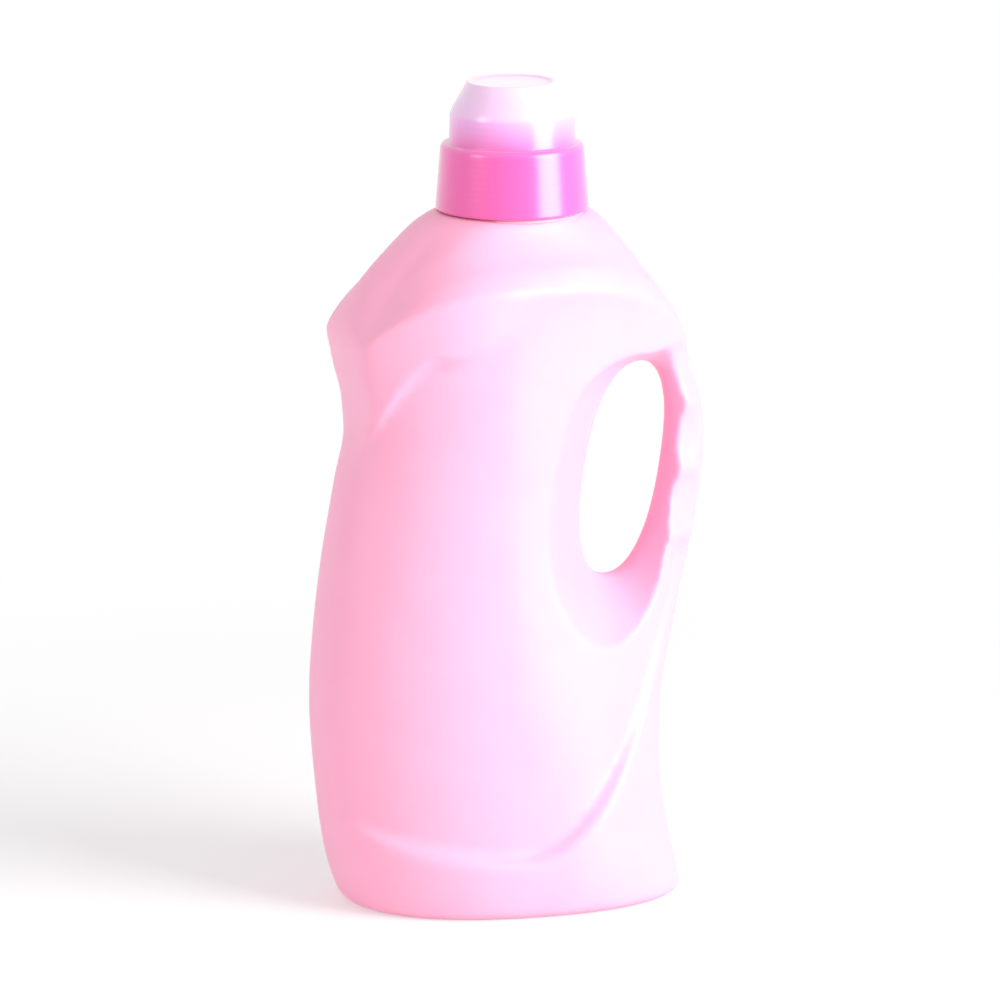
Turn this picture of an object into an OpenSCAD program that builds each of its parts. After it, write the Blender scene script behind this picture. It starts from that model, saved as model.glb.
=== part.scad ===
// Handled fabric softener bottle with a drip-back pouring spout and a dosing cap.
// The origin lies on the ground under the neck. +Z is up, the handle points to +X
// and the prow of the shoulder to -X.

/* [Bottle] */
// Length from the belly in front to the back of the handle
bottle_length = 144; // [132:1:158]
// Width across the heel
bottle_width = 93; // [86:1:102]
// Height of the flat ring on which the neck stands
shoulder_height = 244.8; // [230:0.2:260]
// Thickness of the blown wall
wall = 1.4; // [1:0.1:1.8]
// How far the middle of the base is pushed up
push_up = 3; // [2:0.5:5]
// Width of the flat ring on which the bottle stands
foot_w = 5; // [4:0.5:8]
// Sink of the side panel below the heel around it
panel_depth = 4.2; // [1:0.2:4.6]
// Width of the sloping edge of the side panel
panel_edge = 6.5; // [5:0.5:10]

/* [Handle] */
// Width of the finger hole
hole_w = 28.6; // [24:0.2:30]
// Height of the finger hole
hole_h = 76; // [66:1:80]
// Distance from the neck axis to the middle of the finger hole
hole_x = 40.3; // [39:0.1:41.5]
// Height of the middle of the finger hole
hole_z = 150.5; // [148:0.5:154]
// Number of finger seats scooped out of each side of the handle
seats = 4; // [2:1:4]
// Depth of the finger seats
seat_depth = 4; // [0:0.5:4.5]
// Distance from one finger seat to the next
seat_pitch = 23.3; // [21:0.1:24]
// Height of the middle of the top finger seat
seat_top = 185; // [182:0.5:186]

/* [Neck] */
// Outside diameter of the neck
neck_d = 44.6; // [43.6:0.1:45.6]
// Wall of the neck
neck_wall = 1.9; // [1.5:0.1:2.6]
// Height of the neck above the shoulder
neck_h = 20.7; // [18:0.1:24]

/* [Pouring spout] */
// Wall of the spout insert
spout_wall = 1.2; // [1:0.1:1.5]
// Mean width of the gutter around the spout tube
gutter_w = 3.6; // [3:0.1:6]
// How far the tube stands towards the prow from the neck axis
spout_offset = 1.5; // [0:0.1:1.8]
// Height of the lip of the tube above the neck
spout_rise = 12; // [5:0.5:14]
// Radial clearance of the insert in the neck
spout_gap = 0.05; // [0.02:0.01:0.1]
// Depth of the insert in the neck
plug_depth = 13; // [9:0.5:16]
// Slant of the lip of the tube, in degrees
lip_slant = 5; // [2:1:10]
// Width of the drain slot in the gutter
drain_w = 8; // [4:0.5:10]
// Distance of the drain slot from the tube and from the wall of the insert
drain_edge = 1; // [0.5:0.1:1.2]

/* [Dosing cap] */
// Room for the thread between the neck and the wall of the cap
thread_room = 2.9; // [2.4:0.1:3.6]
// Width of the step from the lip of the cap to the dosing cup
step_w = 4.7; // [4.2:0.1:5.5]
// Diameter of the flat top of the cap
top_d = 31; // [27:0.5:35]
// Height of the straight part of the cup
cup_straight = 10.5; // [7:0.5:13]
// Height of the tapering part of the cup
cup_taper = 11; // [8:0.5:15]
// Rounding of the edge of the step
step_round = 2; // [1:0.2:3]
// Sink of the flat top inside its rim
top_sink = 0.6; // [0.2:0.1:1.5]
// Wall of the cap
cap_wall = 1.5; // [1.2:0.1:1.7]
// Gap under the lip and on the seat of the closed cap
cap_gap = 0.3; // [0.2:0.05:0.5]

/* [Hidden] */
$fn = 96;
pink = "#f9c3dc";
deep_pink = "#f27cc4";
cup_pink = [0.98, 0.62, 0.86, 0.6];

// Outline of the bottle at rising levels. Each row holds the height in front, at the
// side and at the back, the front and back reach, the half width, the place of the
// greatest width, how full the front and the back of the section are, and how far the
// flat nose under the prow lies behind the front reach.
BODY = [
  [0, 0, 0, -58, 57, 41, 0, 2.2, 2.3, -10],
  [1.5, 1.5, 1.5, -61.5, 59.5, 44, 0, 2.2, 2.3, -10],
  [6, 6, 6, -64, 59, 45.6, 0, 2.2, 2.3, -10],
  [18, 18, 18, -67.5, 56, 46.5, -2, 2.2, 2.3, -10],
  [42, 42, 42, -71, 52.5, 46.5, -6, 2.2, 2.2, -10],
  [70, 70, 70, -73, 53.5, 46.3, -9, 2.2, 2, -10],
  [95, 95, 95, -71.8, 59, 45.2, -11, 2.2, 1.7, -9],
  [122, 122, 122, -68.6, 66, 43.6, -12, 2.2, 1.52, -7],
  [146, 146, 146, -64.6, 69.8, 42.4, -12, 2.2, 1.5, -2],
  [164, 166, 162, -62.4, 71, 42, -12, 2.1, 1.5, 3],
  [178, 185, 174, -63.8, 69.4, 42.2, -12, 2, 1.54, 5],
  [189, 201, 183, -68, 66.6, 42.6, -11, 2, 1.6, 6.8],
  [196.5, 214, 190, -71, 64.8, 43, -9, 2, 1.66, 8.4],
  [200.5, 222, 195, -72.5, 64, 43.4, -6, 2, 1.74, 9]
];
SHOULDER = [
  [200.5, 222, 195, -72.5, 64, 43.4, -6, 2, 1.74, 9],
  [208.5, 228, 205.5, -64.5, 59, 39.2, -5, 2, 1.8, 2],
  [217, 233, 218, -58, 50, 34.6, -3, 2, 1.9, 0],
  [227, 238.6, 230, -49.5, 41, 30.6, -1.5, 2, 2, -3],
  [239.5, 243.3, 240.2, -36.4, 32.4, 28.2, -0.5, 2, 2, -5],
  [244.8, 244.8, 244.8, -27, 27, 27, 0, 2, 2, -5]
];
// Roundness of the edges of the nose, and how much its flat face bows outwards
nose_edge = 1;
nose_bow = 0.003;
// Share of the way round to the front at which a section reaches its front height
nose_turn = 0.645;
// Side panel: lowest point of its edge, how steeply the edge bows up in front and
// behind, and the arc under the prow that bounds it above
panel_x = -9;
panel_z = 19;
bow_front = 0.0035;
bow_back = 0.019;
brow_x = -35;
brow_z = 198;
brow_front = 0.06;
brow_back = 0.02;
brow_fade = 22;
// Finger seats: where they begin and end, and how softly
seat_front = 50;
seat_back = 70;
seat_ease = 8.5;
// How many walls wider the panel and the seats are on the inside of the wall
panel_margin = 4;
seat_margin = 2;
// Largest share of the half width that they sink by, and its growth with the inset
sink_share = 0.5;
sink_gain = 0.2;
// Finger hole: fullness and lean of its outline, and rounding at the parting plane
hole_full = 2.3;
hole_lean = 0.158;
rim_round = 5;
rim_bow = 1.12;
// Flare of its rim at the sides, at the top and below, with the middle angle and the
// half span of the last two
flare_side = 0.64;
flare_top = 0.14;
flare_low = 0.8;
top_angle = 88;
low_angle = 290;
flare_span = 60;
drawn_length = 144;
drawn_width = 93;
drawn_height = 244.8;
sx = bottle_length / drawn_length;
sy = bottle_width / drawn_width;
sz = shoulder_height / drawn_height;

// Sizes of the cap and the spout insert that follow from the neck
neck_bore = neck_d - 2 * neck_wall;
plug_d = neck_bore - 2 * spout_gap;
spout_d = plug_d - 2 * (spout_wall + gutter_w);
cap_d = neck_d + 2 * (thread_room + cap_wall);
cup_d = cap_d - 2 * step_w;
neck_top = shoulder_height + neck_h;
flange_t = spout_wall;
step_z = neck_top + flange_t + cap_gap + cap_wall;
cup_z = step_z + cup_straight;
cap_top = cup_z + cup_taper;
lip_z = shoulder_height + cap_gap;
skirt_draft = 1.6;
cup_draft = 0.3;
lip_edge = 0.5;
rim_edge = 0.5;
rim_w = 1.2;
// How far a cut runs past the face that it opens
cut = 1;

function smooth(t) = let (u = min(max(t, 0), 1)) u * u * (3 - 2 * u);
function mix(a, b, t) = a + (b - a) * t;
function power(v, p) = sign(v) * pow(abs(v), p);

// Catmull-Rom step through four rows of a table
function spline(a, b, c, d, t) =
  b + (c - a) * t / 2 + (2 * a - 5 * b + 4 * c - d) * t * t / 2
  + (3 * b - a - 3 * c + d) * t * t * t / 2;

// Rows of a table with the given number of steps between two of them
function refine(rows, steps) = let (last = len(rows) - 1) [
  for (i = [0:last - 1], k = [0:steps - 1])
    spline(rows[max(i - 1, 0)], rows[i], rows[i + 1], rows[min(i + 2, last)], k / steps),
  rows[last]
];

// Lower edge of the side panel: a flat bow in front and a steep one behind
function panel_bow(x) = x > panel_x ? bow_back : bow_front;
function panel_low(x) = panel_z + panel_bow(x) * pow(x - panel_x, 2);
function panel_slope(x) = 2 * panel_bow(x) * (x - panel_x);
// Upper edge of the side panel: an arc under the prow that fades out behind it
function panel_high(x) = brow_z + (x < brow_x ? -brow_front : brow_back) * pow(x - brow_x, 2);
// Share of the sink at a place on the side, over a panel widened by a margin
function panel(x, z, margin) =
  smooth((z + margin - panel_low(x)) / (panel_edge * sqrt(1 + pow(panel_slope(x), 2))))
  * mix(smooth((panel_high(x) + margin - z) / (1.6 * panel_edge) + 0.5), 1,
      smooth((x - brow_x) / brow_fade + 0.14));

// Share of the full depth of a finger seat, widened by a margin, with a cusp between
// each two seats
function seat(x, z, margin) =
  let (n = min(max(round((seat_top - z) / seat_pitch), 0), seats - 1),
       off = max(abs(seat_top - n * seat_pitch - z) - margin, 0) / seat_pitch)
  max(1 - 4 * off * off, 0) * smooth((x + margin - seat_front) / seat_ease)
  * smooth((seat_back + margin - x) / seat_ease);

// One point of a section: row of the table, angle from the back, inset of the surface
function wall_point(r, a, inset) =
  let (c = cos(a), s = sin(a),
       front = c < 0,
       reach = front ? r[6] - r[3] : r[4] - r[6],
       p = 2 / (front ? r[7] : r[8]),
       y0 = (r[5] - inset) * power(s, p),
       x0 = r[6] + (reach - inset) * power(c, p),
       nose = front ? r[3] + r[9] + inset + nose_bow * y0 * y0 - x0 : -reach,
       x = x0 + (nose + sqrt(nose * nose + 4 * nose_edge * nose_edge)) / 2,
       w = front ? min(pow(abs(c), 3) / nose_turn, 1) : pow(c, 4),
       z = mix(r[1], front ? r[0] : r[2], w),
       side = smooth(abs(s) * 1.6),
       sunk = panel_depth * panel(x, z, panel_margin * inset) * side
         + seat_depth * seat(x, z, seat_margin * inset),
       y = sign(s) * (abs(y0) - min(sunk, (sink_share + sink_gain * inset) * abs(y0))))
  [x * sx, y * sy, z * sz];

function section(r, n, inset) = [for (i = [0:n - 1]) wall_point(r, 360 * i / n, inset)];

// Solid through a stack of rings, closed by a fan at each end. The cut across each
// four-sided patch is the mirror image of the one on the other half of the ring.
module loft(rings, low, high) {
  n = len(rings[0]);
  m = len(rings);
  points = concat([for (r = rings) each r], [low, high]);
  sides = [for (j = [0:m - 2], i = [0:n - 1]) each let (
      a = j * n + i, b = j * n + (i + 1) % n, c = a + n, d = b + n)
    i < n / 2 ? [[a, c, b], [b, c, d]] : [[a, c, d], [a, d, b]]];
  ends = [for (i = [0:n - 1]) each let (k = (i + 1) % n, t = (m - 1) * n)
    [[m * n, i, k], [m * n + 1, t + k, t + i]]];
  polyhedron(points, concat(sides, ends), convexity = 10);
}

// Body without its handle hole, shrunk by an inset for the space inside
module body_form(n, steps, inset) {
  body = refine(BODY, steps);
  shoulder = refine(SHOULDER, ceil(steps / 2));
  rows = concat([for (i = [0:len(body) - 2]) body[i]], shoulder);
  foot = section(BODY[0], n, foot_w - inset);
  dish = [for (p = section(BODY[0], n, foot_w - inset + 2 * push_up)) p + [0, 0, push_up]];
  rings = concat([dish, foot], [for (r = rows) section(r, n, inset)]);
  translate([0, 0, inset])
    scale([1, 1, 1 - 2 * inset / shoulder_height])
      loft(rings, [0, 0, push_up], [0, 0, shoulder_height]);
}

// How strongly the finger hole flares towards each side of its rim
function flare(a) =
  let (top = smooth(1 - abs(a - top_angle) / flare_span),
       low = smooth(1 - abs(a - low_angle) / flare_span))
  mix(mix(flare_side, flare_top, top), flare_low, low);

// One rim of the finger hole at a distance from the parting plane
function rim(y, n, inset) =
  let (depth = (sqrt(y * y + rim_round * rim_round) - rim_round) * rim_bow)
  [for (i = [0:n - 1]) let (
      a = 360 * i / n,
      z0 = hole_h / 2 * power(sin(a), 2 / hole_full),
      x0 = hole_w / 2 * power(cos(a), 2 / hole_full) + hole_lean * z0,
      out = depth * flare(a) + inset)
    [(hole_x + x0 + out * cos(a)) * sx, y, (hole_z + z0 + out * sin(a)) * sz]];

// Hourglass that cuts the finger hole, from one side of the bottle to the other
module finger_hole(n, levels, inset) {
  reach = 0.62 * bottle_width;
  rings = [for (k = [-levels:levels]) rim(-reach * power(k / levels, 1.6), n, inset)];
  middle = [hole_x * sx, 0, hole_z * sz];
  loft(rings, middle + [0, reach, 0], middle - [0, reach, 0]);
}

// Shell with its handle and the space inside, opened under the neck a little
// narrower than the bore
module blown_shell() {
  resize([0, 0, shoulder_height])
    difference() {
      body_form(n = 62, steps = 4, inset = 0);
      finger_hole(n = 46, levels = 6, inset = 0);
      difference() {
        body_form(n = 32, steps = 2, inset = wall);
        finger_hole(n = 28, levels = 4, inset = 1.2 * wall);
      }
      translate([0, 0, shoulder_height - 2 * wall])
        cylinder(d = neck_bore - 2 * wall, h = 3 * wall, $fn = 32);
    }
}

module bottle() {
  color(pink)
    difference() {
      union() {
        blown_shell();
        translate([0, 0, shoulder_height - wall])
          cylinder(d = neck_d, h = neck_h + wall);
      }
      translate([0, 0, shoulder_height - 3 * wall])
        cylinder(d = neck_bore, h = neck_h + 4 * wall);
    }
}

// Tube of the insert, with a slanting lip that is high on the side of the prow
module spout_tube(base) {
  difference() {
    translate([-spout_offset, 0, base])
      cylinder(d = spout_d, h = neck_top + spout_rise - base);
    translate([-spout_offset - spout_d / 2, 0, neck_top + spout_rise])
      rotate([0, lip_slant, 0])
        translate([-spout_d, -spout_d, 0])
          cube([4 * spout_d, 2 * spout_d, spout_d]);
  }
}

module pour_spout() {
  floor_z = neck_top - plug_depth;
  drain_x = spout_d / 2 - spout_offset + drain_edge;
  color(deep_pink)
    difference() {
      union() {
        difference() {
          union() {
            translate([0, 0, neck_top])
              cylinder(d = neck_d, h = flange_t);
            translate([0, 0, floor_z])
              cylinder(d = plug_d, h = plug_depth);
          }
          translate([0, 0, floor_z + spout_wall])
            cylinder(d = plug_d - 2 * spout_wall, h = plug_depth + flange_t);
        }
        spout_tube(floor_z);
      }
      translate([-spout_offset, 0, floor_z - cut])
        cylinder(d = spout_d - 2 * spout_wall, h = plug_depth + spout_rise + 2 * cut);
      translate([drain_x, -drain_w / 2, floor_z - cut])
        cube([plug_d / 2 - spout_wall - drain_edge - drain_x, drain_w, spout_wall + 2 * cut]);
    }
}

// Section of the cap from its lip up the outside and back down the inside
module dosing_cap() {
  skirt = cap_d / 2;
  cup = cup_d / 2;
  rim = top_d / 2;
  color(cup_pink)
    rotate_extrude()
      polygon([
        [skirt - cap_wall, lip_z],
        [skirt - lip_edge, lip_z],
        [skirt, lip_z + 2 * lip_edge],
        [skirt - skirt_draft, step_z - step_round],
        for (a = [15:15:90])
          [skirt - skirt_draft - step_round * (1 - cos(a)), step_z - step_round * (1 - sin(a))],
        [cup, step_z],
        [cup - cup_draft, cup_z],
        [rim + rim_edge, cap_top - 2 * rim_edge],
        [rim - rim_edge, cap_top],
        [rim - rim_edge - rim_w, cap_top],
        [rim - 2 * rim_edge - rim_w, cap_top - top_sink],
        [0, cap_top - top_sink],
        [0, cap_top - top_sink - cap_wall],
        [rim - 2 * rim_edge - cap_wall, cap_top - top_sink - cap_wall],
        [cup - cup_draft - cap_wall, cup_z],
        [cup - cap_wall, step_z - cap_wall],
        [skirt - skirt_draft - cap_wall, step_z - cap_wall]
      ]);
}

bottle();
pour_spout();
dosing_cap();
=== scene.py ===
"""Fabric softener bottle: a blown bottle with a through handle, its pouring spout
and its tinted dosing cap. Lengths are in millimetres until a mesh is made."""

import logging
import math
from collections.abc import Sequence
from dataclasses import dataclass, field
from enum import Enum

import bmesh
import bpy
from mathutils import Matrix, Vector


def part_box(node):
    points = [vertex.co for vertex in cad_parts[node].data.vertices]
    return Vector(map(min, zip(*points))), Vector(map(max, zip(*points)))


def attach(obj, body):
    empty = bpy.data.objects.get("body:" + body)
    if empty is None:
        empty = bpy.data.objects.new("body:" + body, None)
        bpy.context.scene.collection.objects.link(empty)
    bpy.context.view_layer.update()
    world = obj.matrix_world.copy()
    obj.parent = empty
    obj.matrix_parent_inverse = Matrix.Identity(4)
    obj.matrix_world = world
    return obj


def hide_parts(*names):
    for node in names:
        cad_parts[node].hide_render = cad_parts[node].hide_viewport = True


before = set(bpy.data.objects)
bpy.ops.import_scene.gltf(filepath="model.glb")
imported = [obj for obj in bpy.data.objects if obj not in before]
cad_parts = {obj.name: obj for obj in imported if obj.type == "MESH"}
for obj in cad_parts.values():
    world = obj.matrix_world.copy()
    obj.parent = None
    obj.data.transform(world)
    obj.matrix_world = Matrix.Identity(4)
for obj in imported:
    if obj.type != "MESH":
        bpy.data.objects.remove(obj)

LOG = logging.getLogger("softener_bottle")
MM = 0.001
Row = tuple[float, ...]
Profile = list[tuple[float, float]]


class Cut(Enum):
    """How one solid changes another."""

    ADD = "UNION"
    TAKE = "DIFFERENCE"


class Side(Enum):
    """Which wall of a turned piece carries a thread."""

    OUTSIDE = 1
    INSIDE = -1


# Small helpers


def smooth(t: float) -> float:
    """Returns t clamped to 0..1 and eased at both ends."""
    u = min(max(t, 0.0), 1.0)
    return u * u * (3 - 2 * u)


def mix(a: float, b: float, t: float) -> float:
    """Returns the value between a and b at t."""
    return a + (b - a) * t


def power(v: float, p: float) -> float:
    """Returns v to the power p with its sign kept."""
    return math.copysign(abs(v) ** p, v)


def linear(code: str) -> tuple[float, float, float, float]:
    """Turns an sRGB hex colour into linear RGBA.

    Args:
        code: six hex digits after a hash sign.

    Returns:
        Linear red, green, blue and an alpha of 1.
    """
    parts = [int(code[i : i + 2], 16) / 255 for i in (1, 3, 5)]
    red, green, blue = (
        c / 12.92 if c <= 0.04045 else ((c + 0.055) / 1.055) ** 2.4 for c in parts
    )
    return red, green, blue, 1.0


def add_node(
    tree: bpy.types.NodeTree,
    kind: str,
    links: dict[str | int, bpy.types.NodeSocket] | None = None,
    values: dict[str | int, object] | None = None,
    **settings: object,
) -> bpy.types.Node:
    """Adds a node with its settings, input values and incoming links.

    Args:
        tree: the node tree.
        kind: the node's type name.
        links: input name or number to the socket that feeds it.
        values: input name or number to its value.
        settings: attributes of the node.

    Returns:
        The new node.
    """
    made = tree.nodes.new(kind)
    for name, value in settings.items():
        setattr(made, name, value)
    for key, value in (values or {}).items():
        made.inputs[key].default_value = value
    for key, socket in (links or {}).items():
        tree.links.new(socket, made.inputs[key])
    return made


def new_finish(
    name: str,
) -> tuple[bpy.types.Material, bpy.types.NodeTree, bpy.types.Node, bpy.types.NodeSocket]:
    """Starts a node material.

    Args:
        name: the material's name.

    Returns:
        The material, its tree, its shader and the place on the object.
    """
    material = bpy.data.materials.new(name)
    material.use_nodes = True
    tree = material.node_tree
    place = add_node(tree, "ShaderNodeTexCoord").outputs["Object"]
    return material, tree, tree.nodes["Principled BSDF"], place


def new_object(name: str, bm: bmesh.types.BMesh) -> bpy.types.Object:
    """Makes a smooth-shaded object of a bmesh given in millimetres and frees the bmesh.

    Args:
        name: the object's name.
        bm: the shape in millimetres.

    Returns:
        The object, in metres.
    """
    bm.transform(Matrix.Scale(MM, 4))
    mesh = bpy.data.meshes.new(name)
    bm.to_mesh(mesh)
    bm.free()
    mesh.shade_smooth()
    made = bpy.data.objects.new(name, mesh)
    bpy.context.scene.collection.objects.link(made)
    return made


def bake_modifiers(thing: bpy.types.Object) -> None:
    """Replaces the object's mesh by the one its modifiers make."""
    graph = bpy.context.evaluated_depsgraph_get()
    baked = bpy.data.meshes.new_from_object(thing.evaluated_get(graph))
    old = thing.data
    thing.modifiers.clear()
    thing.data = baked
    bpy.data.meshes.remove(old)


def cut(thing: bpy.types.Object, tool: bpy.types.Object, how: Cut) -> None:
    """Adds the tool to the thing or takes it away, and removes the tool."""
    step = thing.modifiers.new("cut", "BOOLEAN")
    step.operation = how.value
    step.solver = "EXACT"
    step.object = tool
    bake_modifiers(thing)
    bpy.data.objects.remove(tool, do_unlink=True)


def loft(rings: Sequence[Sequence[Vector]]) -> bmesh.types.BMesh:
    """Makes a closed solid through a stack of rings.

    Args:
        rings: rings of equally many points, from one end to the other.

    Returns:
        The solid, with a flat face at each end and its faces outwards.
    """
    around, along = len(rings[0]), len(rings) - 1
    bm = bmesh.new()
    bmesh.ops.create_grid(bm, x_segments=around, y_segments=along, size=1.0)
    for vert in bm.verts:
        i = round((vert.co.x + 1) / 2 * around) % around
        j = round((vert.co.y + 1) / 2 * along)
        vert.co = rings[j][i]
    bmesh.ops.remove_doubles(bm, verts=bm.verts, dist=1e-5)
    bmesh.ops.holes_fill(bm, edges=bm.edges)
    bmesh.ops.recalc_face_normals(bm, faces=bm.faces)
    return bm


def turned(outline: Profile, steps: int) -> bmesh.types.BMesh:
    """Turns a closed outline of radius and height once round the Z axis.

    Args:
        outline: the corners of the section in millimetres, not repeated at the end.
        steps: how many faces go round.

    Returns:
        The turned solid with its faces outwards.
    """
    bm = bmesh.new()
    verts = [bm.verts.new((r, 0.0, z)) for r, z in outline]
    pairs = zip(verts, verts[1:] + verts[:1])
    edges = [bm.edges.new(pair) for pair in pairs]
    bmesh.ops.spin(
        bm,
        geom=verts + edges,
        cent=(0, 0, 0),
        axis=(0, 0, 1),
        angle=2 * math.pi,
        steps=steps,
        use_merge=True,
        use_duplicate=False,
    )
    bmesh.ops.remove_doubles(bm, verts=bm.verts, dist=1e-4)
    bmesh.ops.recalc_face_normals(bm, faces=bm.faces)
    return bm


def stepped(a: tuple[float, float], b: tuple[float, float], count: int) -> Profile:
    """Returns count points from a towards b, with a and without b."""
    return [(mix(a[0], b[0], k / count), mix(a[1], b[1], k / count)) for k in range(count)]


def arc(centre: tuple[float, float], radius: float, start: float, end: float) -> Profile:
    """Returns points on an arc of a section, from one angle to another.

    Args:
        centre: radius and height of the arc's centre.
        radius: radius of the arc.
        start: first angle in degrees, from the outward direction.
        end: last angle in degrees.

    Returns:
        Seven points along the arc.
    """
    angles = [math.radians(mix(start, end, k / 6)) for k in range(7)]
    return [(centre[0] + radius * math.cos(a), centre[1] + radius * math.sin(a)) for a in angles]


@dataclass(frozen=True)
class Thread:
    """A rounded screw thread on a turned wall."""

    low: float
    high: float
    pitch: float
    height: float
    phase: float
    side: Side
    crest_shift: float = 0.35
    flank: float = 0.8
    run_out: float = 1.2

    def lift(self, angle: float, z: float) -> float:
        """Returns how far the thread stands off the wall at an angle and a height."""
        turn = (z - self.low) / self.pitch - angle / (2 * math.pi) + self.phase
        crest = smooth((math.cos(2 * math.pi * turn) + self.crest_shift) / self.flank)
        ends = smooth((z - self.low) / self.run_out) * smooth((self.high - z) / self.run_out)
        return self.side.value * self.height * crest * ends

    def cut_into(self, bm: bmesh.types.BMesh, near: float, draft: float = 0.0) -> None:
        """Moves the wall's vertices in or out so that they follow the thread.

        Args:
            bm: a turned piece in millimetres.
            near: radius between the wall's inner and outer side, at the thread's low end.
            draft: how much that radius shrinks in a millimetre of height.
        """
        for vert in bm.verts:
            radius = math.hypot(vert.co.x, vert.co.y)
            inner = radius < near - draft * (vert.co.z - self.low)
            if self.low < vert.co.z < self.high and inner == (self.side is Side.INSIDE):
                grow = 1 + self.lift(math.atan2(vert.co.y, vert.co.x), vert.co.z) / radius
                vert.co.x *= grow
                vert.co.y *= grow


# The form of the blown body: the part's own, with a fuller upper corner of the finger
# hole and softer lines on the hood and at the end of the brow


@dataclass(frozen=True)
class SidePanel:
    """The sunk panel on each side of the bottle, bounded by a bow below and behind
    and by an arc under the prow."""

    depth: float = 4.2
    edge: float = 5.4
    lowest: tuple[float, float] = (-9.0, 19.0)
    bow_front: float = 0.0035
    bow_back: float = 0.019
    brow: tuple[float, float] = (-35.0, 198.0)
    brow_front: float = 0.06
    brow_back: float = 0.02
    brow_fade: float = 44.0
    brow_start: float = 0.07
    brow_softness: float = 1.6
    margin: float = 4.0

    def sink(self, x: float, z: float, inset: float) -> float:
        """Returns how far the side lies inwards at a place."""
        off = x - self.lowest[0]
        bow = self.bow_back if off > 0 else self.bow_front
        low = self.lowest[1] + bow * off**2
        along = x - self.brow[0]
        high = self.brow[1] + (-self.brow_front if along < 0 else self.brow_back) * along**2
        wider = self.margin * inset
        below = smooth((z + wider - low) / (self.edge * math.hypot(1, 2 * bow * off)))
        above = smooth((high + wider - z) / (self.brow_softness * self.edge) + 0.5)
        return self.depth * below * mix(above, 1, smooth(along / self.brow_fade + self.brow_start))


@dataclass(frozen=True)
class FingerSeats:
    """Finger seats scooped out of both sides of the handle, with a cusp between two."""

    count: int = 4
    depth: float = 4.0
    pitch: float = 23.3
    top: float = 185.0
    front: float = 50.0
    back: float = 70.0
    ease: float = 8.5
    margin: float = 2.0

    def sink(self, x: float, z: float, inset: float) -> float:
        """Returns how far the side of the handle lies inwards at a place."""
        wider = self.margin * inset
        nearest = min(max(round((self.top - z) / self.pitch), 0), self.count - 1)
        off = max(abs(self.top - nearest * self.pitch - z) - wider, 0) / self.pitch
        ends = smooth((x + wider - self.front) / self.ease)
        ends *= smooth((self.back + wider - x) / self.ease)
        return self.depth * max(1 - 4 * off * off, 0) * ends


@dataclass(frozen=True)
class HoleRim:
    """Outline of the finger hole and its flare towards each side."""

    size: tuple[float, float] = (28.6, 76.0)
    middle: tuple[float, float] = (40.3, 150.5)
    lean: float = 0.158
    full: float = 2.3
    rounding: float = 5.0
    bow: float = 1.12
    side: float = 0.64
    top: float = 0.34
    low: float = 0.8
    top_angle: float = 92.0
    low_angle: float = 290.0
    span: float = 60.0
    corner: float = 0.75
    corner_angle: float = 47.0
    corner_span: float = 48.0

    def flare(self, degrees: float) -> float:
        """Returns how strongly the rim flares at an angle from the back."""
        top = smooth(1 - abs(degrees - self.top_angle) / self.span)
        low = smooth(1 - abs(degrees - self.low_angle) / self.span)
        corner = smooth(1 - abs(degrees - self.corner_angle) / self.corner_span)
        return mix(mix(self.side, self.top, top), self.low, low) + self.corner * corner

    def ring(self, y: float, count: int, inset: float) -> list[Vector]:
        """Returns the outline at a distance from the parting plane.

        Args:
            y: the distance.
            count: how many points it has.
            inset: how far it lies outside the hole's own wall.
        """
        depth = (math.hypot(y, self.rounding) - self.rounding) * self.bow
        points = []
        for i in range(count):
            a = 2 * math.pi * i / count
            z = self.size[1] / 2 * power(math.sin(a), 2 / self.full)
            x = self.size[0] / 2 * power(math.cos(a), 2 / self.full) + self.lean * z
            out = depth * self.flare(math.degrees(a)) + inset
            side = self.middle[0] + x + out * math.cos(a)
            points.append(Vector((side, y, self.middle[1] + z + out * math.sin(a))))
        return points


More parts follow.
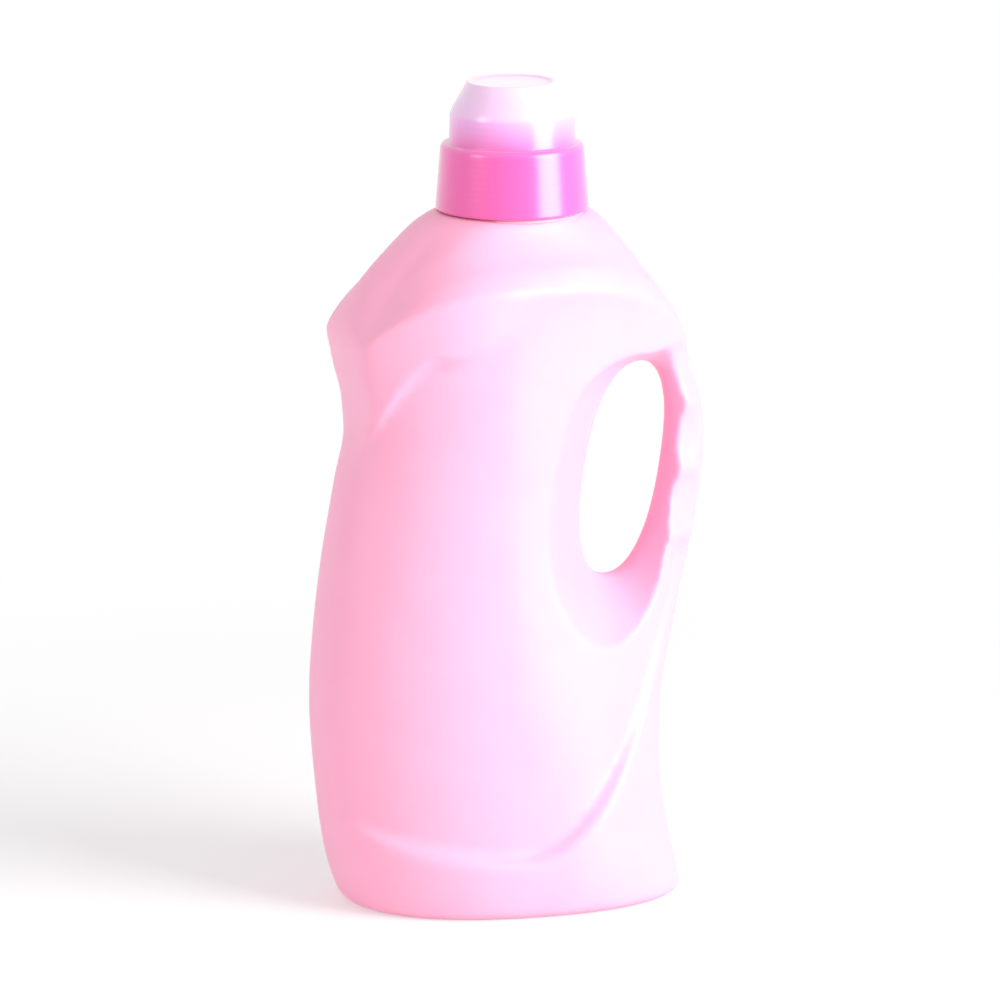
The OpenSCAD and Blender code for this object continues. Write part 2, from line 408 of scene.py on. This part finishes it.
@dataclass
class BlownForm:
    """Sections of the bottle and the hourglass that cuts its finger hole."""

    seat_z: float
    half_width: float
    wall: float = 1.4
    foot: float = 5.0
    push_up: float = 3.0
    panel: SidePanel = SidePanel()
    seats: FingerSeats = FingerSeats()
    hole: HoleRim = HoleRim()
    nose_edge: float = 1.0
    nose_bow: float = 0.003
    nose_turn: float = 0.645
    hood_round: float = 0.15
    panel_reach: float = 1.6
    sink_share: float = 0.5
    sink_gain: float = 0.2
    # Each row: height in front, at the side and behind, reach in front and behind,
    # half width, place of the greatest width, fullness in front and behind, and how far
    # the flat nose under the prow lies behind the front reach
    body: list[Row] = field(
        default_factory=lambda: [
            (0, 0, 0, -58, 57, 41, 0, 2.2, 2.3, -10),
            (1.5, 1.5, 1.5, -61.5, 59.5, 44, 0, 2.2, 2.3, -10),
            (6, 6, 6, -64, 59, 45.6, 0, 2.2, 2.3, -10),
            (18, 18, 18, -67.5, 56, 46.5, -2, 2.2, 2.3, -10),
            (42, 42, 42, -71, 52.5, 46.5, -6, 2.2, 2.2, -10),
            (70, 70, 70, -73, 53.5, 46.3, -9, 2.2, 2, -10),
            (95, 95, 95, -71.8, 59, 45.2, -11, 2.2, 1.7, -9),
            (122, 122, 122, -68.6, 66, 43.6, -12, 2.2, 1.52, -7),
            (146, 146, 146, -64.6, 69.8, 42.4, -12, 2.2, 1.5, -2),
            (164, 166, 162, -62.4, 71, 42, -12, 2.1, 1.5, 3),
            (178, 185, 174, -63.8, 69.4, 42.2, -12, 2, 1.54, 5),
            (189, 201, 183, -68, 66.6, 42.6, -11, 2, 1.6, 6.8),
            (196.5, 214, 190, -71, 64.8, 43, -9, 2, 1.66, 8.4),
            (200.5, 222, 195, -72.5, 64, 43.4, -6, 2, 1.74, 9),
        ]
    )
    shoulder: list[Row] = field(
        default_factory=lambda: [
            (200.5, 222, 195, -72.5, 64, 43.4, -6, 2, 1.74, 9),
            (208.5, 228, 205.5, -64.5, 59, 39.2, -5, 2, 1.8, 2),
            (217, 233, 218, -58, 50, 34.6, -3, 2, 1.9, 0),
            (227, 238.6, 230, -49.5, 41, 30.6, -1.5, 2, 2, -3),
            (239.5, 243.3, 240.2, -36.4, 32.4, 28.2, -0.5, 2, 2, -5),
            (244.8, 244.8, 244.8, -27, 27, 27, 0, 2, 2, -5),
        ]
    )

    @staticmethod
    def refine(rows: list[Row], steps: int) -> list[Row]:
        """Runs a smooth curve through the rows of a table.

        Args:
            rows: the rows.
            steps: how many steps go from one row to the next.

        Returns:
            The rows and the ones between them.
        """
        last = len(rows) - 1
        out = []
        for i in range(last):
            four = (rows[max(i - 1, 0)], rows[i], rows[i + 1], rows[min(i + 2, last)])
            for k in range(steps):
                t = k / steps
                out.append(
                    tuple(
                        b
                        + (c - a) * t / 2
                        + (2 * a - 5 * b + 4 * c - d) * t * t / 2
                        + (3 * b - a - 3 * c + d) * t**3 / 2
                        for a, b, c, d in zip(*four)
                    )
                )
        return [*out, rows[last]]

    def wall_point(self, row: Row, angle: float, inset: float) -> Vector:
        """Returns one point of a section.

        Args:
            row: the row of the table.
            angle: angle from the back, in radians.
            inset: distance inside the outer skin.
        """
        z_front, z_side, z_back, front, back, half, mid, full_front, full_back, flat = row
        c, s = math.cos(angle), math.sin(angle)
        ahead = c < 0
        reach = mid - front if ahead else back - mid
        p = 2 / (full_front if ahead else full_back)
        y = (half - inset) * power(s, p)
        x = mid + (reach - inset) * power(c, p)
        nose = front + flat + inset + self.nose_bow * y * y - x if ahead else -reach
        x += (nose + math.hypot(nose, 2 * self.nose_edge)) / 2
        turn = c**4
        if ahead:
            over = abs(c) ** 3 / self.nose_turn - 1
            turn = 1 + (over - math.hypot(over, self.hood_round)) / 2
        z = mix(z_side, z_front if ahead else z_back, turn)
        sunk = self.panel.sink(x, z, inset) * smooth(abs(s) * self.panel_reach)
        sunk += self.seats.sink(x, z, inset)
        deepest = (self.sink_share + self.sink_gain * inset) * abs(y)
        return Vector((x, math.copysign(abs(y) - min(sunk, deepest), s), z))

    def section(self, row: Row, count: int, inset: float) -> list[Vector]:
        """Returns the ring of one row."""
        return [self.wall_point(row, 2 * math.pi * i / count, inset) for i in range(count)]

    def skin(self, count: int, steps: int, inset: float) -> bmesh.types.BMesh:
        """Makes the body without its finger hole.

        Args:
            count: points around a ring.
            steps: rings from one row to the next.
            inset: distance inside the outer skin.

        Returns:
            The closed body.
        """
        rows = self.refine(self.body, steps)[:-1]
        rows += self.refine(self.shoulder, max(steps * 2 // 3, 1))
        sole = self.body[0]
        inward = self.foot - inset
        foot = self.section(sole, count, inward)
        dish = self.section(sole, count, inward + 2 * self.push_up)
        middle = self.section(sole, count, 30)
        lift = Vector((0, 0, self.push_up))
        rings = [[p + lift for p in middle], [p + lift for p in dish], foot]
        rings += [self.section(row, count, inset) for row in rows]
        bm = loft(rings)
        squeeze = 1 - 2 * inset / self.seat_z
        for vert in bm.verts:
            vert.co.z = inset + vert.co.z * squeeze
        return bm

    def finger_hole(self, count: int, levels: int, inset: float) -> bmesh.types.BMesh:
        """Makes the hourglass that cuts the finger hole."""
        reach = 1.24 * self.half_width
        places = [reach * power(k / levels, 1.6) for k in range(-levels, levels + 1)]
        return loft([self.hole.ring(-y, count, inset) for y in places])


# Finishes


@dataclass(frozen=True)
class SatinHdpe:
    """Pigmented high-density polyethylene, blown against a blasted mould: an even satin
    with a soft glow, a faint grain and a fine seam where the mould halves met."""

    name: str = "hdpe_satin_pink"
    colour: str = "#feadca"
    deep: str = "#fea6c5"
    ior: float = 1.54
    roughness: float = 0.44
    grain_mm: float = 0.9  # the real grit is about 0.2 mm, too fine to show
    ripple_mm: float = 14.0
    seam_mm: float = 0.35

    def make(self) -> bpy.types.Material:
        """Builds the material."""
        material, tree, shader, place = new_finish(self.name)
        grain = add_node(
            tree,
            "ShaderNodeTexNoise",
            {"Vector": place},
            {"Scale": 1 / (self.grain_mm * MM), "Detail": 2.0},
        )
        ripple = add_node(
            tree,
            "ShaderNodeTexNoise",
            {"Vector": place},
            {"Scale": 1 / (self.ripple_mm * MM), "Detail": 1.0},
        )
        axes = add_node(tree, "ShaderNodeSeparateXYZ", {"Vector": place})
        off = add_node(
            tree, "ShaderNodeMath", {0: axes.outputs["Y"]}, operation="ABSOLUTE"
        )
        seam = add_node(
            tree,
            "ShaderNodeMapRange",
            {"Value": off.outputs[0]},
            {"From Min": 0.0, "From Max": self.seam_mm * MM, "To Min": 1.0, "To Max": 0.0},
            interpolation_type="SMOOTHSTEP",
        )
        tint = add_node(
            tree,
            "ShaderNodeMix",
            {"Factor": ripple.outputs["Fac"]},
            {"A": linear(self.colour), "B": linear(self.deep)},
            data_type="RGBA",
        )
        worn = add_node(
            tree,
            "ShaderNodeMapRange",
            {"Value": ripple.outputs["Fac"]},
            {"To Min": self.roughness - 0.04, "To Max": self.roughness + 0.04},
        )
        fine = add_node(
            tree,
            "ShaderNodeBump",
            {"Height": grain.outputs["Fac"]},
            {"Strength": 0.35, "Distance": 0.00005},
        )
        wavy = add_node(
            tree,
            "ShaderNodeBump",
            {"Height": ripple.outputs["Fac"], "Normal": fine.outputs["Normal"]},
            {"Strength": 0.3, "Distance": 0.0004},
        )
        parted = add_node(
            tree,
            "ShaderNodeBump",
            {"Height": seam.outputs[0], "Normal": wavy.outputs["Normal"]},
            {"Strength": 0.5, "Distance": 0.0002},
        )
        tree.links.new(tint.outputs["Result"], shader.inputs["Base Color"])
        tree.links.new(worn.outputs[0], shader.inputs["Roughness"])
        tree.links.new(parted.outputs["Normal"], shader.inputs["Normal"])
        shader.inputs["IOR"].default_value = self.ior
        shader.inputs["Subsurface Weight"].default_value = 0.25
        shader.inputs["Subsurface Radius"].default_value = (1.0, 0.45, 0.6)
        shader.inputs["Subsurface Scale"].default_value = 0.004
        return material


@dataclass(frozen=True)
class TintedPolypropylene:
    """Injection-moulded polypropylene with a clear tint: polished outside over a milky
    body, so that it glows and still shows a highlight. Its colour changes with height and
    paints the light that passes through it: deep on the skirt, where neck and thread lie
    close behind it in shade, and pale on the empty cup, where the white surroundings
    shine through."""

    low: float
    high: float
    name: str = "polypropylene_tinted"
    # Share of the height and the colour there: the pink tint, with painted shade deep on the skirt
    # and painted light shining through pale on the cup
    tint_with_painted_through_light: tuple[tuple[float, str], ...] = (
        (0.0, "#ff5cb8"),
        (0.47, "#ff5cba"),
        (0.54, "#ff7ccf"),
        (0.64, "#ff9ee6"),
        (0.73, "#ffb6f4"),
        (0.77, "#ffd0fa"),
        (1.0, "#ffd8fa"),
    )
    milkiness: float = 0.78
    ior: float = 1.49
    roughness: float = 0.3
    flow_mm: float = 16.0
    ring_mm: float = 2.1  # the thread behind the wall shows as faint rings

    def make(self) -> bpy.types.Material:
        """Builds the material."""
        material, tree, shader, place = new_finish(self.name)
        axes = add_node(tree, "ShaderNodeSeparateXYZ", {"Vector": place})
        share = add_node(
            tree,
            "ShaderNodeMapRange",
            {"Value": axes.outputs["Z"]},
            {"From Min": self.low * MM, "From Max": self.high * MM},
        )
        # The ramp by height paints light and shade into the tint: painted shade deep behind the
        # skirt, painted light shining through pale on the cup
        tint = add_node(tree, "ShaderNodeValToRGB", {"Fac": share.outputs[0]})
        stops = tint.color_ramp.elements
        stops[0].color, stops[1].color = linear(self.tint_with_painted_through_light[0][1]), linear(self.tint_with_painted_through_light[-1][1])
        for at, code in self.tint_with_painted_through_light[1:-1]:
            stops.new(at).color = linear(code)
        flow = add_node(
            tree,
            "ShaderNodeTexNoise",
            {"Vector": place},
            {"Scale": 1 / (self.flow_mm * MM), "Detail": 0.0},
        )
        rings = add_node(
            tree,
            "ShaderNodeTexWave",
            {"Vector": place},
            {"Scale": math.pi / (10 * self.ring_mm * MM), "Distortion": 0.0},
            wave_type="BANDS",
            bands_direction="Z",
        )
        ringed = add_node(
            tree,
            "ShaderNodeBump",
            {"Height": rings.outputs["Fac"]},
            {"Strength": 0.25, "Distance": 0.0001},
        )
        haze = add_node(
            tree,
            "ShaderNodeMapRange",
            {"Value": flow.outputs["Fac"]},
            {"To Min": self.roughness - 0.03, "To Max": self.roughness + 0.03},
        )
        tree.links.new(tint.outputs["Color"], shader.inputs["Base Color"])
        tree.links.new(ringed.outputs["Normal"], shader.inputs["Normal"])
        tree.links.new(haze.outputs[0], shader.inputs["Roughness"])
        shader.inputs["IOR"].default_value = self.ior
        shader.inputs["Transmission Weight"].default_value = 1 - self.milkiness
        shader.inputs["Coat Weight"].default_value = 1.0
        shader.inputs["Coat Roughness"].default_value = 0.25
        shader.inputs["Sheen Weight"].default_value = 0.35
        shader.inputs["Sheen Roughness"].default_value = 0.4
        return material


@dataclass(frozen=True)
class SoftPolyethylene:
    """Low-density polyethylene, moulded: waxy, with a soft sheen and light inside it."""

    name: str = "ldpe_waxy_pink"
    colour: str = "#f58fcb"
    ior: float = 1.51
    roughness: float = 0.3
    flow_mm: float = 5.0

    def make(self) -> bpy.types.Material:
        """Builds the material."""
        material, tree, shader, place = new_finish(self.name)
        flow = add_node(
            tree,
            "ShaderNodeTexNoise",
            {"Vector": place},
            {"Scale": 1 / (self.flow_mm * MM), "Detail": 2.0},
        )
        wavy = add_node(
            tree,
            "ShaderNodeBump",
            {"Height": flow.outputs["Fac"]},
            {"Strength": 0.15, "Distance": 0.0003},
        )
        tree.links.new(wavy.outputs["Normal"], shader.inputs["Normal"])
        shader.inputs["Base Color"].default_value = linear(self.colour)
        shader.inputs["IOR"].default_value = self.ior
        shader.inputs["Roughness"].default_value = self.roughness
        shader.inputs["Subsurface Weight"].default_value = 0.4
        shader.inputs["Subsurface Radius"].default_value = (1.0, 0.5, 0.8)
        shader.inputs["Subsurface Scale"].default_value = 0.003
        return material


# Sub-assemblies


@dataclass
class Bottle:
    """The blown bottle with its neck."""

    top: float
    half_width: float
    neck_radius: float
    neck_height: float = 20.7
    bore_radius: float = 20.4
    voxel: float = 1.3
    pitch: float = 4.2
    thread_height: float = 0.95

    @property
    def seat_z(self) -> float:
        """Height of the ring on which the neck stands."""
        return self.top - self.neck_height

    def outer_skin(self, form: BlownForm) -> bpy.types.Object:
        """Makes the outside of the body as an even mesh with rounded edges.

        Args:
            form: the sections and rims.

        Returns:
            The skin, open under the neck.
        """
        sharp = new_object("sharp_form", form.skin(count=256, steps=9, inset=0.0))
        hole = new_object("hole_form", form.finger_hole(count=160, levels=24, inset=0.0))
        cut(sharp, hole, Cut.TAKE)
        even = sharp.copy()
        even.data = sharp.data.copy()
        bpy.context.scene.collection.objects.link(even)
        remesh = even.modifiers.new("even", "REMESH")
        remesh.mode = "VOXEL"
        remesh.voxel_size = self.voxel * MM
        wrap = even.modifiers.new("wrap", "SHRINKWRAP")
        wrap.target = sharp
        bake_modifiers(even)
        bpy.data.objects.remove(sharp, do_unlink=True)
        self.round_edges(even.data, bend=0.25, spread=1, passes=4)
        self.open_mouth(even.data)
        return even

    @staticmethod
    def round_edges(mesh: bpy.types.Mesh, bend: float, spread: int, passes: int) -> None:
        """Rounds the edges of an even mesh by smoothing the vertices along them.

        Args:
            mesh: the mesh.
            bend: edges that turn by more than this many radians count.
            spread: how many rows of vertices around such an edge are smoothed too.
            passes: how often they are smoothed.
        """
        bm = bmesh.new()
        bm.from_mesh(mesh)
        chosen = {v for e in bm.edges if e.calc_face_angle(0.0) > bend for v in e.verts}
        for _ in range(spread):
            chosen |= {e.other_vert(v) for v in chosen for e in v.link_edges}
        for _ in range(passes):
            bmesh.ops.smooth_vert(
                bm, verts=list(chosen), factor=0.5, use_axis_x=True, use_axis_y=True,
                use_axis_z=True,
            )
        bm.to_mesh(mesh)
        bm.free()

    def open_mouth(self, mesh: bpy.types.Mesh) -> None:
        """Removes the skin inside the foot of the neck."""
        bm = bmesh.new()
        bm.from_mesh(mesh)
        edge = (self.bore_radius + 0.9) * MM
        high = (self.seat_z - 1) * MM
        inside = [
            v for v in bm.verts if v.co.z > high and math.hypot(v.co.x, v.co.y) < edge
        ]
        bmesh.ops.delete(bm, geom=inside, context="VERTS")
        bm.to_mesh(mesh)
        bm.free()

    def inner_skin(self, form: BlownForm) -> bpy.types.Object:
        """Makes the inside of the wall, facing the space in the bottle."""
        inner = new_object("inner_form", form.skin(count=96, steps=3, inset=form.wall))
        clear = form.wall * 1.2
        hole = new_object("inner_hole", form.finger_hole(count=80, levels=10, inset=clear))
        cut(inner, hole, Cut.TAKE)
        bm = bmesh.new()
        bm.from_mesh(inner.data)
        lid = (self.seat_z - form.wall - 0.2) * MM
        top = [f for f in bm.faces if min(v.co.z for v in f.verts) > lid]
        bmesh.ops.delete(bm, geom=top, context="FACES")
        bmesh.ops.reverse_faces(bm, faces=bm.faces)
        bm.to_mesh(inner.data)
        bm.free()
        return inner

    def neck(self) -> bpy.types.Object:
        """Makes the neck with its bead, its thread and the fillet at its foot."""
        r, bore, seat, top = self.neck_radius, self.bore_radius, self.seat_z, self.top
        edge, bead, fillet, plain = 0.5, 0.9, 2.4, seat + 4.8
        outline = [
            (bore, seat - 3),
            (bore, top - edge),
            (bore + edge, top),
            (r - edge, top),
            (r, top - edge),
            *stepped((r, top - 1), (r, plain), 44),
            (r, plain),
            *arc((r, seat + 3.9), bead, 80, -70),
            (r + 0.2, seat + 2.6),
            *arc((r + 2.6, seat + 2.5), fillet, 180, 265),
            (bore + 5.2, seat - 0.6),
        ]
        bm = turned(outline, 200)
        thread = Thread(
            low=seat + 4.9,
            high=top - 1.4,
            pitch=self.pitch,
            height=self.thread_height,
            phase=0.0,
            side=Side.OUTSIDE,
        )
        thread.cut_into(bm, (r + bore) / 2)
        return new_object("neck", bm)

    def build(self, finish: SatinHdpe) -> bpy.types.Object:
        """Makes the whole bottle as one piece.

        Args:
            finish: what it is made of.

        Returns:
            The finished piece.
        """
        form = BlownForm(self.seat_z, self.half_width)
        parts = [self.outer_skin(form), self.inner_skin(form), self.neck()]
        bm = bmesh.new()
        for part in parts:
            bm.from_mesh(part.data)
            bpy.data.objects.remove(part, do_unlink=True)
        mesh = bpy.data.meshes.new("blown_bottle")
        bm.to_mesh(mesh)
        bm.free()
        mesh.shade_smooth()
        mesh.materials.append(finish.make())
        bottle = bpy.data.objects.new("blown_bottle", mesh)
        bpy.context.scene.collection.objects.link(bottle)
        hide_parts("bottle")
        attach(bottle, "bottle")
        return bottle


@dataclass
class PourSpout:
    """The insert with its gutter, drain and slanting tube."""

    neck_top: float
    neck_radius: float
    top: float
    plug_radius: float = 20.35
    plug_depth: float = 13.0
    wall: float = 1.2
    tube_radius: float = 15.55
    lean: float = 1.5
    slant: float = 5.0
    drain: float = 8.0
    drain_edge: float = 1.0
    lip_flare: float = 0.05
    lip_start: float = 0.7

    @property
    def floor_z(self) -> float:
        """Height of the underside of the gutter."""
        return self.neck_top - self.plug_depth

    def gutter(self) -> bpy.types.Object:
        """Makes the flange, the plug and the gutter floor as one turned piece."""
        plug, neck, seat, under = self.plug_radius, self.neck_radius, self.neck_top, self.floor_z
        inner = plug - self.wall
        flange, floor = seat + self.wall, under + self.wall
        outline = [
            (0.0, under),
            (plug - 0.6, under),
            (plug, under + 0.8),
            (plug, seat),
            (neck - 0.2, seat),
            (neck, seat + 0.2),
            (neck, flange - 0.3),
            (neck - 0.3, flange),
            (inner + 0.6, flange),
            (inner, flange - 0.6),
            (inner, floor + 1.5),
            (inner - 1.5, floor),
            (0.0, floor),
        ]
        return new_object("pour_insert", turned(outline, 128))

    def tube(self, radius: float, low: float) -> bpy.types.Object:
        """Makes a leaning solid tube with a slanting, flared lip.

        Args:
            radius: radius below the lip.
            low: height of its lower end.

        Returns:
            The tube's solid.
        """
        fall = math.tan(math.radians(self.slant))
        front = -self.lean - self.tube_radius
        levels, around = 16, 96
        rings = []
        for k in range(levels + 1):
            share = k / levels
            lip = self.lip_flare * smooth((share - self.lip_start) / (1 - self.lip_start))
            ring = []
            for i in range(around):
                a = 2 * math.pi * i / around
                flare = 1 + lip * (1 - math.cos(a)) / 2
                x = -self.lean + radius * flare * math.cos(a)
                y = radius * flare * math.sin(a)
                high = self.top - fall * max(x - front, 0)
                ring.append(Vector((x, y, mix(low, high, share))))
            rings.append(ring)
        return new_object("tube_form", loft(rings))

    def build(self, finish: SoftPolyethylene) -> bpy.types.Object:
        """Makes the insert as one piece.

        Args:
            finish: what it is made of.

        Returns:
            The finished piece.
        """
        spout = self.gutter()
        cut(spout, self.tube(self.tube_radius, self.floor_z), Cut.ADD)
        bore = self.tube(self.tube_radius - self.wall, self.floor_z - 2)
        bore.data.transform(Matrix.Translation((0, 0, MM)))
        cut(spout, bore, Cut.TAKE)
        slot = bmesh.new()
        bmesh.ops.create_cube(slot, size=1.0)
        near = self.tube_radius - self.lean + self.drain_edge
        far = self.plug_radius - self.wall - self.drain_edge
        bmesh.ops.scale(slot, vec=(far - near, self.drain, 6), verts=slot.verts)
        bmesh.ops.translate(slot, vec=((far + near) / 2, 0, self.floor_z), verts=slot.verts)
        cut(spout, new_object("drain_form", slot), Cut.TAKE)
        soften = spout.modifiers.new("soft_edges", "BEVEL")
        soften.width = 0.25 * MM
        soften.segments = 2
        soften.limit_method = "ANGLE"
        soften.angle_limit = math.radians(40)
        spout.data.materials.clear()
        spout.data.materials.append(finish.make())
        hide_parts("pour_spout")
        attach(spout, "bottle")
        return spout


@dataclass
class DosingCap:
    """The stepped screw cap whose upper part is the dosing cup."""

    lip_z: float
    top: float
    radius: float
    cup_radius: float = 22.0
    top_radius: float = 15.5
    wall: float = 1.5
    taper: float = 11.0
    straight: float = 10.5
    round: float = 2.0
    draft: float = 1.6
    pitch: float = 4.2
    thread_height: float = 0.8

    def build(self) -> bpy.types.Object:
        """Makes the cap as one piece.

        Returns:
            The finished piece.
        """
        cup_z = self.top - self.taper
        step_z = cup_z - self.straight
        lip, top, inner = self.lip_z, self.top, self.wall
        skirt, cup, rim = self.radius, self.cup_radius, self.top_radius
        high_skirt = skirt - self.draft
        lid, ceiling, soft = top - 0.6, step_z - inner, 0.7
        outline = [
            (skirt - inner + 0.3, lip),
            (skirt - 0.6, lip),
            *arc((skirt - soft, lip + soft), soft, -70, 0),
            *stepped((skirt - 0.02, lip + 1.2), (high_skirt, step_z - self.round), 12),
            *arc((high_skirt - self.round, step_z - self.round), self.round, 0, 90),
            (cup + 0.8, step_z),
            *arc((cup + soft, step_z + soft), soft, 260, 182),
            *stepped((cup - 0.03, step_z + 1.2), (cup - 0.25, cup_z - 1.4), 5),
            (cup - 0.3, cup_z - 1.0),
            (cup - 0.42, cup_z),
            (cup - 0.75, cup_z + 1.0),
            *stepped((cup - 1.2, cup_z + 2.0), (rim + 0.65, top - 1.3), 6),
            *arc((rim - 0.3, top - 1.0), 1.0, 15, 90),
            (rim - 1.5, top),
            (rim - 2.1, top - 0.5),
            (rim - 3.0, lid),
            (6.0, lid),
            (0.0, lid),
            (0.0, lid - inner),
            (8.0, lid - inner),
            (rim - 2.6 - inner, lid - inner),
            (rim - 1.2 - inner, top - 1.4 - inner),
            *stepped((rim - inner, top - 3.2), (cup - 0.9 - inner, cup_z + 0.6), 6),
            (cup - 0.5 - inner, cup_z - 1.0),
            (cup - inner, ceiling + 0.4),
            (cup - inner + 0.6, ceiling),
            (high_skirt - inner - 0.8, ceiling),
            *stepped((high_skirt - inner, ceiling - 0.8), (skirt - inner, lip + 1.0), 60),
            (skirt - inner, lip + 0.6),
        ]
        bm = turned(outline, 240)
        thread = Thread(
            low=lip + 3.0,
            high=ceiling - 3.0,
            pitch=self.pitch,
            height=self.thread_height,
            phase=0.5,
            side=Side.INSIDE,
        )
        thread.cut_into(bm, skirt - 0.7 * inner, self.draft / (step_z - lip))
        cap = new_object("cup_cap", bm)
        cap.data.materials.append(TintedPolypropylene(self.lip_z, self.top).make())
        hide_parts("dosing_cap")
        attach(cap, "cap")
        return cap


@dataclass(frozen=True)
class Lamp:
    """A rectangular lamp: degrees to the right of the camera, distance, height and size in
    metres, and its power in watts."""

    name: str
    turn: float
    away: float
    height: float
    size: tuple[float, float]
    watts: float


@dataclass
class Studio:
    """White table, soft window light from the right and the photograph's camera."""

    yaw: float = 17.0
    pitch: float = math.degrees(0.208)
    distance: float = 2.8
    height: float = 0.7318
    lens: float = 293.0
    shift: float = -0.012
    sky: float = 0.66
    aim_height: float = 0.16
    table_radius_mm: float = 2500.0
    lamps: tuple[Lamp, ...] = (
        Lamp("window_right", 60, 1.0, 0.5, (0.7, 1.0), 19.0),
        Lamp("strip_left", -56, 1.0, 0.55, (0.3, 0.4), 1.8),
    )

    def heading(self, turn: float) -> Vector:
        """Returns the level direction at an angle to the right of the camera's side."""
        angle = math.radians(self.yaw - turn)
        return Vector((-math.sin(angle), -math.cos(angle), 0))

    def camera(self) -> None:
        """Places the photograph's camera."""
        data = bpy.data.cameras.new("photo_camera")
        data.lens = self.lens
        data.shift_x = self.shift
        data.clip_end = 50
        made = bpy.data.objects.new("photo_camera", data)
        made.location = self.heading(0) * self.distance + Vector((0, 0, self.height))
        made.rotation_euler = (
            math.radians(90 - self.pitch),
            0,
            -math.radians(self.yaw),
        )
        bpy.context.scene.collection.objects.link(made)
        bpy.context.scene.camera = made

    def hang(self, lamp: Lamp) -> None:
        """Hangs a lamp that faces the bottle."""
        data = bpy.data.lights.new(lamp.name, "AREA")
        data.shape = "RECTANGLE"
        data.size, data.size_y = lamp.size
        data.energy = lamp.watts
        made = bpy.data.objects.new(lamp.name, data)
        made.location = self.heading(lamp.turn) * lamp.away + Vector((0, 0, lamp.height))
        aim = Vector((0, 0, self.aim_height)) - made.location
        made.rotation_euler = aim.to_track_quat("-Z", "Y").to_euler()
        bpy.context.scene.collection.objects.link(made)

    def floor(self) -> None:
        """Lays a white table that fades into the white background."""
        bm = bmesh.new()
        bmesh.ops.create_circle(bm, cap_ends=True, segments=96, radius=self.table_radius_mm)
        table = new_object("table_top", bm)
        material, tree, shader, place = new_finish("table_white")
        shader.inputs["Base Color"].default_value = linear("#f8f6f7")
        shader.inputs["Roughness"].default_value = 0.6
        far = add_node(tree, "ShaderNodeVectorMath", {0: place}, operation="LENGTH")
        fade = add_node(
            tree,
            "ShaderNodeMapRange",
            {"Value": far.outputs["Value"]},
            {"From Min": 0.16, "From Max": 0.55, "To Min": 0.35},
            interpolation_type="SMOOTHSTEP",
        )
        glow = add_node(tree, "ShaderNodeEmission", values={"Strength": 1.0})
        blend = add_node(
            tree,
            "ShaderNodeMixShader",
            {0: fade.outputs[0], 1: shader.outputs[0], 2: glow.outputs[0]},
        )
        tree.links.new(blend.outputs[0], tree.nodes["Material Output"].inputs["Surface"])
        table.data.materials.append(material)

    def surroundings(self) -> None:
        """Sets a white background at strength 1 and a sky for the light itself."""
        world = bpy.data.worlds.new("white_room")
        bpy.context.scene.world = world
        world.use_nodes = True
        tree = world.node_tree
        paths = add_node(tree, "ShaderNodeLightPath").outputs
        seen = add_node(
            tree,
            "ShaderNodeMath",
            {0: paths["Is Camera Ray"], 1: paths["Is Glossy Ray"]},
            operation="ADD",
        )
        clear = add_node(
            tree,
            "ShaderNodeMath",
            {0: seen.outputs[0], 1: paths["Is Transmission Ray"]},
            operation="ADD",
            use_clamp=True,
        )
        strength = add_node(
            tree,
            "ShaderNodeMapRange",
            {"Value": clear.outputs[0]},
            {"To Min": self.sky, "To Max": 1.0},
        )
        tree.links.new(strength.outputs[0], tree.nodes["Background"].inputs["Strength"])
        tree.nodes["Background"].inputs["Color"].default_value = (1, 1, 1, 1)

    def build(self) -> None:
        """Sets up the camera, the lamps, the floor and the colour view."""
        self.camera()
        for lamp in self.lamps:
            self.hang(lamp)
        self.floor()
        self.surroundings()
        bpy.context.scene.view_settings.view_transform = "Standard"


def main() -> None:
    """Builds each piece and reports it."""
    logging.basicConfig(level=logging.INFO, format="%(message)s")
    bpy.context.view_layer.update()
    bottle_low, bottle_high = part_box("bottle")
    spout_low, spout_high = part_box("pour_spout")
    cap_low, cap_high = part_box("dosing_cap")
    neck_top = bottle_high[2] / MM
    flange = (spout_high[0] - spout_low[0]) / 2 / MM
    pieces = [
        Bottle(neck_top, bottle_high[1] / MM, flange).build(SatinHdpe()),
        PourSpout(neck_top, flange, spout_high[2] / MM).build(SoftPolyethylene()),
        DosingCap(cap_low[2] / MM, cap_high[2] / MM, (cap_high[0] - cap_low[0]) / 2 / MM).build(),
    ]
    for piece in pieces:
        LOG.info("%s: %d faces", piece.name, len(piece.data.polygons))
    Studio().build()


if __name__ == "__main__":
    main()
